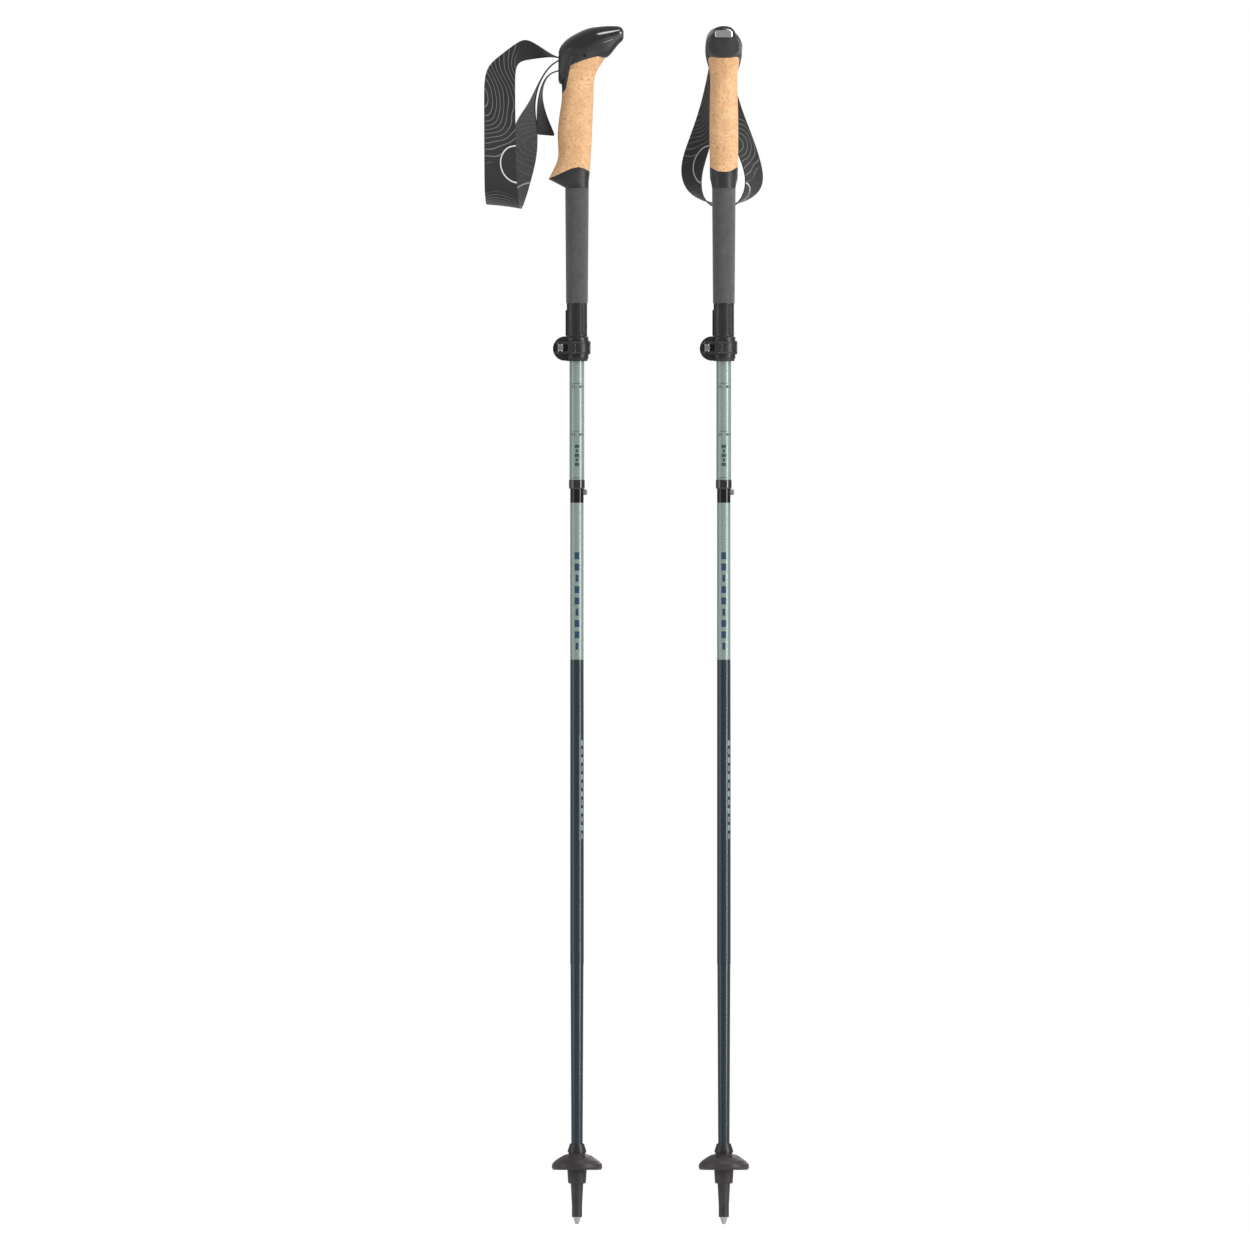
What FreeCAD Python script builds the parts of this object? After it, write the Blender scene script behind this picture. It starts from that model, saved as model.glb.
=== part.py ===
import FreeCAD, Part
import math
import os

import Sketcher

# A pair of folding trekking poles, standing tips down, in millimetres.
# Both poles are built from the same functions in a frame of their own: the shaft's axis is Z, the tip's end
# is Z = 0 and the grip's nose points along +X. Each piece is then turned and moved to its pole's place.

doc = FreeCAD.newDocument("trekking_poles")
sizes = doc.addObject("Spreadsheet::Sheet", "sizes")

DIMENSIONS = {
    # where the two poles stand
    "pole_a_x": -50.35,
    "pole_b_x": 105.65,
    "pole_y": -25.25,
    # levels along the shaft, from the tip up
    "shaft_low": 7.4,
    "lower_tube_low": 46.0,
    "hub_low": 43.0,
    "rim_low": 57.4,
    "rim_high": 63.5,
    "basket_high": 74.4,
    "tip_collar_high": 85.7,
    "anchor_low": 228.0,
    "anchor_high": 246.0,
    "fold_two": 276.6,
    "fold_one": 766.3,
    "lock_low": 780.9,
    "lock_high": 790.6,
    "sleeve_high": 826.0,
    "upper_tube_low": 925.0,
    "clamp_low": 916.7,
    "clamp_shoulder": 943.5,
    "clamp_high": 978.4,
    "slider_high": 1095.0,
    "foam_high": 1100.8,
    "upper_tube_high": 1232.0,
    # tubes
    "upper_radius": 9.0,
    "upper_bore": 8.25,
    "slider_radius": 8.0,
    "slider_bore": 7.25,
    "sleeve_radius": 7.25,
    "sleeve_bore": 6.3,
    "middle_radius": 7.25,
    "middle_bore": 6.3,
    "lower_radius_high": 6.95,
    "lower_radius_low": 6.1,
    "lower_bore": 5.2,
    "cord_radius": 1.0,
    "cord_bore": 1.4,
    "knot_radius": 2.8,
    # joint cones, and how far each fold's pin stands beside the shaft's axis
    "cone_stem": 26.0,
    "cone_rise": 6.5,
    "cone_tip": 3.4,
    "fold_offset": 12.0,
    # lock collar and button
    "lock_radius": 8.65,
    "button_level": 777.5,
    "button_radius": 3.0,
    "button_flange": 3.4,
    "button_inner": 5.05,
    "button_out": 11.0,
    "spring_leg": 0.6,
    "spring_width": 4.0,
    "spring_high": 812.0,
    # lever clamp
    "clamp_sleeve": 10.95,
    "clamp_collar": 12.4,
    "clamp_bore": 8.35,
    "lobe_radius": 13.0,
    "lobe_centre": 12.6,
    "lobe_front": 5.6,
    "lobe_back": 8.0,
    "clamp_slot_half": 0.8,
    "bolt_level": 931.0,
    "bolt_across": 17.5,
    "bolt_radius": 1.6,
    "bolt_head": 3.0,
    "barrel_out": 11.2,
    "barrel_radius": 3.2,
    "lever_height": 14.0,
    "lever_slot": 7.4,
    "lever_inner": 12.75,
    "lever_outer": 14.5,
    "cam_radius": 5.3,
    "nut_radius": 5.6,
    "nut_height": 4.2,
    "running_fit": 0.05,
    # foam grip
    "foam_radius_high": 12.55,
    "foam_radius_low": 11.6,
    # tip, basket and collar
    "carbide_radius": 4.1,
    "carbide_point": 1.9,
    "shaft_radius_low": 5.45,
    "shaft_radius_high": 6.7,
    "shaft_socket": 5.9,
    "hub_radius_low": 9.55,
    "hub_radius_high": 10.75,
    "hub_bore": 6.75,
    "rim_radius": 26.85,
    "tip_collar_low": 75.4,
    "tip_collar_radius": 10.05,
    "tip_collar_neck": 7.3,
    # strap
    "strap_thick": 1.5,
    # fixings in the head
    "pin_radius": 1.5,
    "pin_half_length": 17.0,
    "pin_forward": 7.9,
    "pin_level": 1241.3,
}

for row, (name, number) in enumerate(DIMENSIONS.items(), start=1):
    sizes.set(f"A{row}", name.replace("_", " "))
    sizes.set(f"B{row}", str(number))
    sizes.setAlias(f"B{row}", name)
doc.recompute()


def size(name):
    """A driving dimension, as the sheet holds it."""
    return float(getattr(sizes, name))


def worth(text):
    """The value of a sum such as "fold_one + 6.5" or "bolt_level - lever_height"."""
    total, sign = 0.0, 1
    for word in text.split():
        if word in "+-":
            sign = 1 if word == "+" else -1
        else:
            total += sign * (size(word) if word in DIMENSIONS else float(word))
    return total


def formula(text):
    """The same sum as an expression on the sheet."""
    return " ".join(f"sizes.{word}" if word in DIMENSIONS else word for word in text.split())


def add(kind, name):
    return doc.addObject(kind, name)


# ---------------------------------------------------------------- ways of making a solid


def plane_of(body, role):
    return next(f for f in body.Origin.OriginFeatures if f.Role == role)


def outline_sketch(body, name, points, role="XZ_Plane"):
    """A closed outline of straight lines; every corner is held by two dimensions from the sheet."""
    sketch = body.newObject("Sketcher::SketchObject", name)
    sketch.AttachmentSupport = [(plane_of(body, role), "")]
    sketch.MapMode = "FlatFace"
    corners = [FreeCAD.Vector(worth(a), worth(b), 0) for a, b in points]
    count = len(corners)
    for i in range(count):
        sketch.addGeometry(Part.LineSegment(corners[i], corners[(i + 1) % count]), False)
    for i in range(count):
        sketch.addConstraint(Sketcher.Constraint("Coincident", i, 2, (i + 1) % count, 1))
    for i, texts in enumerate(points):
        for way, text in zip(("DistanceX", "DistanceY"), texts):
            value = worth(text)
            if abs(value) < 1e-9:
                axis = -2 if way == "DistanceX" else -1
                sketch.addConstraint(Sketcher.Constraint("PointOnObject", i, 1, axis))
                continue
            held = sketch.addConstraint(Sketcher.Constraint(way, -1, 1, i, 1, value))
            if any(word in DIMENSIONS for word in text.split()):
                sketch.setExpression(f"Constraints[{held}]", formula(text))
    return sketch


def turned(name, points):
    """A solid of revolution about the shaft's axis, from (radius, height) corners."""
    body = add("PartDesign::Body", name)
    sketch = outline_sketch(body, name + "_outline", points)
    turn = body.newObject("PartDesign::Revolution", name + "_turn")
    turn.Profile = sketch
    turn.ReferenceAxis = (sketch, ["V_Axis"])
    turn.Angle = 360
    return body


def tube(name, outer, bore, low, high):
    return turned(name, [(bore, low), (outer, low), (outer, high), (bore, high)])


def cylinder(name, radius, length, place=None):
    shape = add("Part::Cylinder", name)
    shape.setExpression("Radius", formula(radius))
    shape.setExpression("Height", formula(length))
    shape.Placement = place or FreeCAD.Placement()
    return shape


def block(name, low, high):
    """A box between two corners, each given as three sums."""
    shape = add("Part::Box", name)
    for side, a, b in zip(("Length", "Width", "Height"), low, high):
        shape.setExpression(side, f"({formula(b)}) - ({formula(a)})")
    shape.Placement.Base = FreeCAD.Vector(*[worth(text) for text in low])
    return shape


def joined(name, pieces):
    shape = add("Part::MultiFuse", name)
    shape.Shapes = pieces
    shape.Refine = True
    return shape


def common(name, pieces):
    shape = add("Part::MultiCommon", name)
    shape.Shapes = pieces
    return shape


def without(name, base, tools):
    """base with the tools cut away."""
    tool = tools[0] if len(tools) == 1 else joined(name + "_tools", tools)
    shape = add("Part::Cut", name)
    shape.Base = base
    shape.Tool = tool
    return shape


def fixed(name, shape):
    """A solid whose surfaces are splines, made by Part's own functions from sizes of the sheet."""
    feature = add("Part::Feature", name)
    feature.Shape = shape
    return feature


def upright(name, corners, half_depth):
    """A prism with its outline in the XZ plane, as deep both ways along Y."""
    points = [FreeCAD.Vector(x, -half_depth, z) for x, z in corners]
    face = Part.Face(Part.makePolygon(points + points[:1]))
    return fixed(name, face.extrude(FreeCAD.Vector(0, 2 * half_depth, 0)))


def ring(centre, across, up, reach_across, reach_up, fullness=2.3):
    """A closed smooth curve between an ellipse and a rectangle, in the plane of across and up."""
    points = []
    for i in range(16):
        angle = 2 * math.pi * i / 16
        cos, sin = math.cos(angle), math.sin(angle)
        a = math.copysign(abs(cos) ** (2 / fullness), cos) * reach_across
        b = math.copysign(abs(sin) ** (2 / fullness), sin) * reach_up
        points.append(centre + across * a + up * b)
    curve = Part.BSplineCurve()
    curve.interpolate(points, PeriodicFlag=True)
    return Part.Wire([curve.toShape()])


X = FreeCAD.Vector(1, 0, 0)
Y = FreeCAD.Vector(0, 1, 0)
Z = FreeCAD.Vector(0, 0, 1)


def along(axis, base):
    """The placement that stands a cylinder at base along an axis."""
    return FreeCAD.Placement(base, FreeCAD.Rotation(Z, axis))


# ---------------------------------------------------------------- grip

# The handle's horizontal sections: height, rear and front reach, and half width.
HANDLE = [
    (1110.0, -30.2, 12.9, 14.6),
    (1116.5, -27.0, 13.6, 14.9),
    (1123.5, -23.4, 14.1, 15.0),
    (1132.0, -20.4, 14.6, 15.1),
    (1146.0, -20.2, 15.5, 15.3),
    (1160.0, -20.4, 16.1, 15.3),
    (1177.0, -18.7, 16.7, 15.2),
    (1198.0, -16.0, 17.6, 14.7),
    (1214.0, -16.8, 18.2, 14.4),
    (1226.0, -18.6, 21.6, 15.2),
    (1240.0, -19.6, 30.0, 16.6),
]
# The sections below it, where the handle's foot runs back in to the foam.
FOOT = [
    (1100.8, -12.55, 12.55, 12.55),
    (1105.0, -20.5, 12.5, 13.3),
    (1110.0, -30.2, 12.9, 14.6),
]
# The head's upright sections from the back to the nose: forward, low, high, and half width.
HEAD = [
    (-19.8, 1216.0, 1244.0, 9.0),
    (-17.0, 1211.0, 1251.5, 13.0),
    (-11.0, 1216.0, 1258.4, 16.6),
    (-2.0, 1224.0, 1264.2, 19.2),
    (10.0, 1231.0, 1269.8, 19.7),
    (22.0, 1237.0, 1272.6, 18.6),
    (32.0, 1239.5, 1273.4, 16.4),
    (40.0, 1248.0, 1273.3, 13.6),
    (46.0, 1255.0, 1272.4, 11.2),
    (49.4, 1259.5, 1269.0, 8.6),
]
# Side view of the line where the cork ends and the head begins, and of the line at the cork's foot.
HEAD_LINE = [(60, 1239), (29.4, 1239), (22, 1240.5), (15, 1239), (5, 1236), (-7, 1231.2), (-9.7, 1217),
             (-11.5, 1207), (-15.7, 1200), (-40, 1198)]
FOOT_LINE = [(-40, 1108), (-30.2, 1110.3), (-16, 1117), (-6, 1121.4), (1.5, 1123), (8, 1121.4), (13.6, 1118),
             (40, 1110)]
# Side view of the glossy cap's outline, which is open above the head.
CAP_LINE = [(-16, 1300), (-16, 1247.2), (4, 1249.5), (15, 1254), (31, 1260.6), (47.4, 1265), (60, 1266), (60, 1300)]


def handle_solid(name, stations):
    """The loft through horizontal sections of the handle."""
    wires = []
    for level, rear, front, half_width in stations:
        middle = FreeCAD.Vector((rear + front) / 2, 0, level)
        wires.append(ring(middle, X, Y, (front - rear) / 2, half_width))
    return fixed(name, Part.makeLoft(wires, True))


def head_solid(name):
    """The loft through upright sections of the head."""
    wires = []
    for forward, low, high, half_width in HEAD:
        middle = FreeCAD.Vector(forward, 0, (low + high) / 2)
        wires.append(ring(middle, Y, Z, half_width, (high - low) / 2, fullness=2.5))
    return fixed(name, Part.makeLoft(wires, True))


def tube_hole(name, low, high):
    """The hole that the upper tube fills in the grip's pieces."""
    return cylinder(name, "upper_radius", f"{high} - {low}", FreeCAD.Placement(Z * low, FreeCAD.Rotation()))


def grip_pieces(tag):
    """Head shell, cap, wedge, pin, cork, collar and foam."""
    wide = 30
    above_head_line = upright(f"above_head_line_{tag}", HEAD_LINE + [(-40, 1300), (60, 1300)], wide)
    cap_seat = upright(f"cap_seat_{tag}", CAP_LINE, wide)
    wedge = wedge_solid(f"strap_wedge_{tag}")
    slot = block(f"wedge_slot_{tag}", ("-26", "-7.2", "1222.5"), ("-10.5", "7.2", "1243.4"))
    pin = cylinder(
        f"wedge_pin_{tag}",
        "pin_radius",
        "pin_half_length + pin_half_length",
        along(Y, FreeCAD.Vector(size("pin_forward"), -size("pin_half_length"), size("pin_level"))),
    )
    pin_hole = cylinder(
        f"pin_hole_{tag}",
        "pin_radius",
        "pin_half_length + pin_half_length + 10",
        along(Y, FreeCAD.Vector(size("pin_forward"), -size("pin_half_length") - 5, size("pin_level"))),
    )
    whole_head = joined(
        f"whole_head_{tag}",
        [head_solid(f"head_loft_{tag}"), handle_solid(f"handle_top_{tag}", HANDLE[6:])],
    )
    upper_head = common(f"upper_head_{tag}", [whole_head, above_head_line])
    cap = common(f"head_cap_{tag}", [upper_head, cap_seat])
    shell = without(
        f"head_shell_{tag}",
        upper_head,
        [cap_seat, slot, pin_hole, tube_hole(f"hole_in_head_{tag}", 1190.0, size("upper_tube_high"))],
    )
    body_of_handle = handle_solid(f"handle_{tag}", HANDLE)
    cork_zone = upright(
        f"cork_zone_{tag}",
        FOOT_LINE + list(HEAD_LINE),
        wide,
    )
    cork = without(
        f"cork_grip_{tag}",
        common(f"cork_block_{tag}", [body_of_handle, cork_zone]),
        [tube_hole(f"hole_in_cork_{tag}", 1100.0, size("upper_tube_high"))],
    )
    below_cork = upright(f"below_cork_{tag}", FOOT_LINE + [(40, 1090), (-40, 1090)], wide)
    collar_block = joined(
        f"collar_block_{tag}",
        [
            handle_solid(f"foot_{tag}", FOOT),
            common(f"foot_top_{tag}", [handle_solid(f"handle_low_{tag}", HANDLE), below_cork]),
        ],
    )
    collar = without(
        f"grip_collar_{tag}",
        collar_block,
        [tube_hole(f"hole_in_collar_{tag}", 1095.0, 1130.0)],
    )
    foam = turned(
        f"foam_grip_{tag}",
        [
            ("upper_radius", "clamp_high"),
            ("foam_radius_low", "clamp_high"),
            ("foam_radius_high", "foam_high"),
            ("upper_radius", "foam_high"),
        ],
    )
    return {
        "head_shell": shell,
        "head_cap": cap,
        "strap_wedge": wedge,
        "wedge_pin": pin,
        "cork_grip": cork,
        "grip_collar": collar,
        "foam_grip": foam,
    }


def wedge_solid(name):
    """The wedge that nips the strap in the slot at the head's back."""
    corners = [(-18.6, 1226.0), (-10.5, 1222.5), (-10.5, 1243.4), (-18.6, 1243.4)]
    return upright(name, corners, 7.2)


# ---------------------------------------------------------------- strap

# The loop's two edges, from the slot round and back to it: the far edge, then the edge nearer to the grip.
STRAP = [
    ((-20.8, -6.5, 1239.2), (-20.8, 6.5, 1239.2)),
    ((-25.0, -6.6, 1241.0), (-25.0, 6.4, 1240.2)),
    ((-31.5, -7.6, 1245.0), (-32.0, 5.2, 1240.0)),
    ((-40.0, -9.5, 1251.0), (-41.0, 2.0, 1238.8)),
    ((-48.5, -11.0, 1256.4), (-51.0, -1.5, 1237.2)),
    ((-56.6, -12.0, 1258.9), (-60.2, -4.5, 1235.5)),
    ((-66.5, -13.0, 1253.0), (-64.6, -6.5, 1230.5)),
    ((-77.5, -13.5, 1244.6), (-65.6, -8.0, 1223.0)),
    ((-88.0, -14.0, 1236.6), (-65.8, -9.0, 1213.5)),
    ((-95.6, -15.5, 1228.0), (-65.8, -9.8, 1203.0)),
    ((-98.4, -18.0, 1215.0), (-65.7, -10.5, 1191.0)),
    ((-98.4, -22.5, 1195.0), (-65.6, -11.5, 1178.0)),
    ((-98.3, -29.0, 1173.0), (-65.5, -12.5, 1163.0)),
    ((-98.2, -37.5, 1150.0), (-65.4, -14.5, 1147.0)),
    ((-98.1, -43.5, 1133.0), (-65.2, -19.0, 1132.0)),
    ((-98.0, -45.5, 1118.0), (-64.8, -23.5, 1117.0)),
    ((-98.0, -42.5, 1104.0), (-63.8, -24.5, 1102.0)),
    ((-97.8, -34.0, 1093.0), (-62.5, -22.0, 1089.5)),
    ((-97.0, -19.0, 1086.0), (-60.8, -13.0, 1081.0)),
    ((-96.0, -3.0, 1083.0), (-59.5, -2.0, 1078.5)),
    ((-94.5, 14.0, 1084.0), (-58.0, 9.0, 1080.0)),
    ((-91.5, 29.0, 1089.5), (-55.5, 17.5, 1087.0)),
    ((-87.5, 39.0, 1099.0), (-52.0, 22.5, 1098.0)),
    ((-83.0, 42.0, 1111.0), (-48.5, 23.5, 1111.0)),
    ((-78.5, 39.5, 1126.0), (-44.5, 20.0, 1126.0)),
    ((-73.5, 34.5, 1143.0), (-42.2, 13.0, 1142.0)),
    ((-68.5, 27.5, 1162.0), (-42.2, 5.5, 1158.0)),
    ((-60.5, 21.5, 1177.5), (-43.3, 0.5, 1172.0)),
    ((-51.5, 17.5, 1189.5), (-45.2, -1.5, 1184.5)),
    ((-45.5, 14.0, 1202.0), (-44.0, -1.5, 1198.0)),
    ((-40.3, 11.0, 1213.0), (-40.7, -3.0, 1211.0)),
    ((-33.0, 8.0, 1225.5), (-33.2, -5.2, 1224.5)),
    ((-25.8, 6.8, 1232.8), (-25.8, -6.2, 1232.6)),
    ((-20.8, 6.5, 1236.0), (-20.8, -6.5, 1236.0)),
]
# The two edges of the webbing's free tail, which hangs from the same slot and widens.
TAIL = [
    ((-20.8, -6.0, 1225.0), (-20.8, 6.0, 1225.0)),
    ((-28.0, -6.0, 1223.0), (-28.0, 6.0, 1223.0)),
    ((-35.5, -6.2, 1215.0), (-34.5, 6.2, 1215.0)),
    ((-39.5, -6.5, 1203.0), (-37.5, 6.3, 1203.0)),
    ((-42.0, -6.6, 1190.0), (-36.5, 6.0, 1190.0)),
    ((-42.5, -6.0, 1173.0), (-31.0, 5.0, 1173.0)),
    ((-43.0, -3.5, 1157.5), (-22.8, 2.0, 1156.0)),
]


def band(stations, thick):
    """A flat band between its two edges, closed by flat triangles so that it may twist."""
    edges = [(FreeCAD.Vector(*far), FreeCAD.Vector(*near)) for far, near in stations]
    middles = [(far + near) / 2 for far, near in edges]
    last = len(edges) - 1
    rings = []
    for i, (far, near) in enumerate(edges):
        ahead = middles[min(i + 1, last)] - middles[max(i - 1, 0)]
        out = ahead.cross(near - far)
        out.normalize()
        b = out * (thick / 2)
        rings.append([far - b, near - b, near + b, far + b])
    triangles = []
    for ring_a, ring_b in zip(rings, rings[1:]):
        for k in range(4):
            n = (k + 1) % 4
            quad = [ring_a[k], ring_a[n], ring_b[n], ring_b[k]]
            if k == 2:
                # both broad faces are split along the same diagonal, so they stay parallel where the band twists
                quad = quad[1:] + quad[:1]
            triangles.append((quad[0], quad[1], quad[2]))
            triangles.append((quad[0], quad[2], quad[3]))
    for end in (rings[0][::-1], rings[-1]):
        triangles.append((end[0], end[1], end[2]))
        triangles.append((end[0], end[2], end[3]))
    faces = [Part.Face(Part.makePolygon([p, q, r, p])) for p, q, r in triangles]
    shell = Part.makeShell(faces)
    solid = Part.makeSolid(shell)
    if solid.Volume < 0:
        solid.reverse()
    return solid


def strap_piece(tag):
    thick = size("strap_thick")
    loop = band(STRAP, thick)
    tail = band(TAIL, thick)
    return fixed(f"wrist_strap_{tag}", Part.makeCompound([loop, tail]))


# ---------------------------------------------------------------- lever clamp


def clamp_body(tag):
    """Fluted sleeve, split collar and the lobe that the bolt squeezes."""
    lathe = turned(
        f"clamp_lathe_{tag}",
        [
            ("clamp_bore", "clamp_low"),
            ("clamp_sleeve", "clamp_low"),
            ("clamp_collar", "clamp_low + 4"),
            ("clamp_collar", "clamp_shoulder - 1.5"),
            ("clamp_sleeve", "clamp_shoulder"),
            ("clamp_sleeve", "clamp_high"),
            ("upper_radius", "clamp_high"),
            ("upper_radius", "upper_tube_low"),
            ("clamp_bore", "upper_tube_low"),
        ],
    )
    middle = (size("clamp_low") + size("clamp_shoulder")) / 2
    lobe = cylinder(
        f"lobe_{tag}",
        "lobe_radius",
        "lobe_front + lobe_back",
        along(Y, FreeCAD.Vector(-size("lobe_centre"), -size("lobe_front"), middle)),
    )
    lobe_bore = cylinder(
        f"lobe_bore_{tag}",
        "clamp_collar - 0.6",
        "60",
        FreeCAD.Placement(Z * (size("clamp_low") - 10), FreeCAD.Rotation()),
    )
    rib = block(f"rib_{tag}", ("-12.2", "-1.2", "clamp_shoulder"), ("-10", "1.2", "clamp_high - 7.4"))
    slot = block(
        f"clamp_slot_{tag}",
        ("-30", "0 - clamp_slot_half", "clamp_low - 1"),
        ("-8", "clamp_slot_half", "clamp_shoulder + 3"),
    )
    bolt_hole = cylinder(
        f"bolt_hole_{tag}",
        "bolt_radius",
        "40",
        along(Y, FreeCAD.Vector(-size("bolt_across"), -20, size("bolt_level"))),
    )
    flutes = []
    for angle in (-155, -118, -62, -40, 35, 70, 110, 150):
        turn = FreeCAD.Rotation(Z, angle)
        place = turn.multVec(X * (size("clamp_sleeve") + 0.35))
        flute = cylinder(
            f"flute_{tag}_{len(flutes)}",
            "1.15",
            "clamp_high - clamp_shoulder - 1.6",
            FreeCAD.Placement(place + Z * (size("clamp_shoulder") + 0.8), turn),
        )
        flutes.append(flute)
    lobe_part = without(f"lobe_part_{tag}", lobe, [lobe_bore])
    solid = joined(f"clamp_solid_{tag}", [lathe, lobe_part, rib])
    return without(f"clamp_body_{tag}", solid, [slot, bolt_hole] + flutes)


def clamp_lever(tag):
    """A forked cam on the barrel pin and the band that wraps round the collar's front."""
    across, out = size("bolt_across"), size("barrel_out")
    low = size("bolt_level") - size("lever_height") / 2
    high = size("lever_height")
    outer = Part.makeCylinder(size("lever_outer"), high, Z * low)
    inner = Part.makeCylinder(size("lever_inner"), high + 2, Z * (low - 1))
    sector = Part.makeCylinder(40, high, Z * low, Z, 112)
    sector.rotate(FreeCAD.Vector(), Z, -100)
    wrap = outer.cut(inner).common(sector)
    cam = Part.makeCylinder(size("cam_radius"), high, FreeCAD.Vector(-across, -out, low))
    arm_points = [(-across, -out - size("cam_radius")), (-2.0, -size("lever_outer") - 0.2), (1.0, -13.4),
                  (-across + 5.0, -out + 1.0)]
    vectors = [FreeCAD.Vector(x, y, low) for x, y in arm_points]
    arm = Part.Face(Part.makePolygon(vectors + vectors[:1])).extrude(Z * high)
    lever = wrap.fuse([cam, arm]).cut(inner).removeSplitter()
    fork = size("lever_slot")
    slot = Part.makeBox(16, 30, fork, FreeCAD.Vector(-across - 8.5, -26, size("bolt_level") - fork / 2))
    barrel = Part.makeCylinder(
        size("barrel_radius") + size("running_fit"), high + 2, FreeCAD.Vector(-across, -out, low - 1)
    )
    groove = Part.makeCylinder(size("lever_outer") + 2, 3.4, Z * (size("bolt_level") - 1.7))
    groove = groove.cut(Part.makeCylinder(size("lever_outer") - 0.45, 5, Z * (size("bolt_level") - 2.5)))
    groove_sector = Part.makeCylinder(40, high, Z * low, Z, 88)
    groove_sector.rotate(FreeCAD.Vector(), Z, -84)
    return fixed(f"clamp_lever_{tag}", lever.cut([slot, barrel, groove.common(groove_sector)]))


def lever_pin(tag):
    """The upright barrel pin, which the bolt pulls on."""
    across, out = size("bolt_across"), size("barrel_out")
    low = size("bolt_level") - size("lever_height") / 2
    barrel = cylinder(
        f"barrel_{tag}",
        "barrel_radius",
        "lever_height",
        FreeCAD.Placement(FreeCAD.Vector(-across, -out, low), FreeCAD.Rotation()),
    )
    hole = cylinder(
        f"barrel_hole_{tag}",
        "bolt_radius",
        "20",
        along(Y, FreeCAD.Vector(-across, -out - 10, size("bolt_level"))),
    )
    return without(f"lever_pin_{tag}", barrel, [hole])


def clamp_bolt(tag):
    """The clamp's bolt: its head bears on the barrel pin, and its end carries the adjuster nut."""
    across, out = size("bolt_across"), size("barrel_out")
    face = -out - size("barrel_radius")
    shank = cylinder(
        f"shank_{tag}",
        "bolt_radius",
        "barrel_out + barrel_radius + lobe_back + nut_height + 1",
        along(Y, FreeCAD.Vector(-across, face, size("bolt_level"))),
    )
    head = cylinder(
        f"bolt_head_{tag}",
        "bolt_head",
        "1.4",
        along(Y, FreeCAD.Vector(-across, face - 1.4, size("bolt_level"))),
    )
    eyes = []
    for side in (-1.1, 1.1):
        eye = cylinder(
            f"bolt_eye_{tag}_{len(eyes)}",
            "0.55",
            "2",
            along(Y, FreeCAD.Vector(-across + side, face - 2.8, size("bolt_level"))),
        )
        eyes.append(eye)
    return without(f"clamp_bolt_{tag}", joined(f"bolt_solid_{tag}", [shank, head]), eyes)


def adjuster_nut(tag):
    """The knurled thumb nut at the clamp's back."""
    start = FreeCAD.Vector(-size("bolt_across"), size("lobe_back") + 0.3, size("bolt_level"))
    disc = cylinder(f"nut_disc_{tag}", "nut_radius", "nut_height", along(Y, start))
    cuts = [cylinder(f"nut_hole_{tag}", "bolt_radius + running_fit", "30", along(Y, start - Y * 5))]
    for i in range(12):
        turn = FreeCAD.Rotation(Y, 30 * i)
        place = start - Y + turn.multVec(X * (size("nut_radius") + 0.45))
        cuts.append(cylinder(f"nut_flute_{tag}_{i}", "0.9", "nut_height + 2", along(Y, place)))
    return without(f"adjuster_nut_{tag}", disc, cuts)


# ---------------------------------------------------------------- shaft


def slider_pieces(tag):
    """The adjustable tube, its guide bush, lock collar and plug sleeve, and the button's spring."""
    slider = tube(f"slider_tube_{tag}", "slider_radius", "slider_bore", "lock_low + 2", "slider_high")
    bush = turned(
        f"guide_bush_{tag}",
        [
            ("4", "slider_high - 14"),
            ("slider_bore", "slider_high - 14"),
            ("slider_bore", "slider_high"),
            ("upper_bore - 0.07", "slider_high"),
            ("upper_bore - 0.07", "slider_high + 9"),
            ("4", "slider_high + 9"),
        ],
    )
    lock = turned(
        f"lock_collar_{tag}",
        [
            ("sleeve_radius", "lock_low"),
            ("slider_radius", "lock_low"),
            ("lock_radius", "lock_low + 1.4"),
            ("lock_radius", "lock_high - 0.5"),
            ("slider_radius + 0.3", "lock_high"),
            ("slider_radius", "lock_high"),
            ("slider_radius", "lock_low + 2"),
            ("sleeve_radius", "lock_low + 2"),
        ],
    )
    sleeve_tube = turned(
        f"sleeve_tube_{tag}",
        [
            ("sleeve_bore", "fold_one"),
            ("sleeve_radius", "fold_one"),
            ("sleeve_radius", "sleeve_high"),
            ("cord_bore", "sleeve_high"),
            ("cord_bore", "sleeve_high - 5"),
            ("sleeve_bore", "sleeve_high - 5"),
        ],
    )
    window = cylinder(
        f"button_window_{tag}",
        "button_radius + running_fit",
        "12",
        along(X, FreeCAD.Vector(2, 0, size("button_level"))),
    )
    sleeve = without(f"plug_sleeve_{tag}", sleeve_tube, [window])
    return {
        "slider_tube": slider,
        "guide_bush": bush,
        "lock_collar": lock,
        "plug_sleeve": sleeve,
        "button_spring": button_spring(tag),
    }


def button_spring(tag):
    """A V spring: a leg on the far wall, a bend round the cord, and a leg behind the button."""
    bore, leg, wide = size("sleeve_bore"), size("spring_leg"), size("spring_width") / 2
    low, high = size("button_level") - 3, size("spring_high")
    reach = math.sqrt(bore**2 - wide**2)
    behind = size("button_inner") - leg
    corners = [
        (-reach, low),
        (-reach, high),
        (0, high + 6),
        (behind + leg, high),
        (behind + leg, low),
        (behind, low),
        (behind, high - leg / 2),
        (0, high + 6 - 1.3 * leg),
        (-reach + leg, high - leg / 2),
        (-reach + leg, low),
    ]
    strip = upright(f"spring_strip_{tag}", corners, wide)
    hole = cylinder(
        f"spring_hole_{tag}",
        "cord_bore",
        "20",
        FreeCAD.Placement(Z * (high - 5), FreeCAD.Rotation()),
    )
    return without(f"button_spring_{tag}", strip, [hole])


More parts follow.
